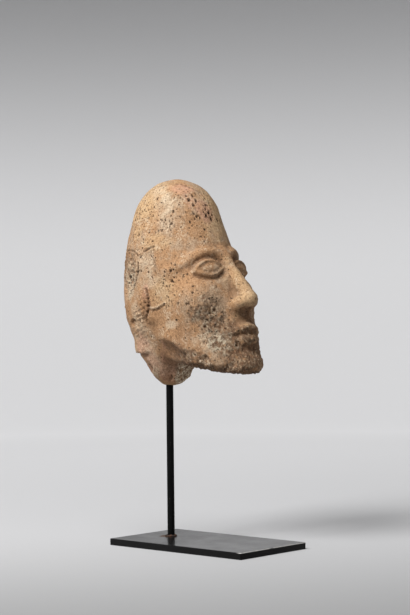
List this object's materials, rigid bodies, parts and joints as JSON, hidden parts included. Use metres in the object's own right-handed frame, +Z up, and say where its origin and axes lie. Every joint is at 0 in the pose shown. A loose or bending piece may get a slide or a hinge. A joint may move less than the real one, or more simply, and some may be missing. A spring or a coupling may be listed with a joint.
{
  "type": "terracotta head on stand",
  "caption": "Eroded fired-clay head with a swept-back crown and broken neck, held on a thin upright steel rod near one end of a flat rectangular steel base.",
  "frame": {"origin": "centre of the base plate's underside, on the surface the object stands on", "axes": "+Z up, -Y the way the face looks, Y along the plate's long side, with the rod near its +Y end"},
  "size_m": [0.0952, 0.1702, 0.3423],
  "materials": {
    "fired_clay": "matt tan fired clay, pitted and worn, with darker and paler patches",
    "rod_black": "satin black",
    "plate_black": "semi-gloss black, near black at its edges",
    "weld_metal": "dull rust brown"
  },
  "bodies": {
    "root": {"terracotta_head": "fired_clay", "mount_rod": "rod_black", "base_plate": "plate_black", "weld_bead": "weld_metal"}
  },
  "joints": []
}
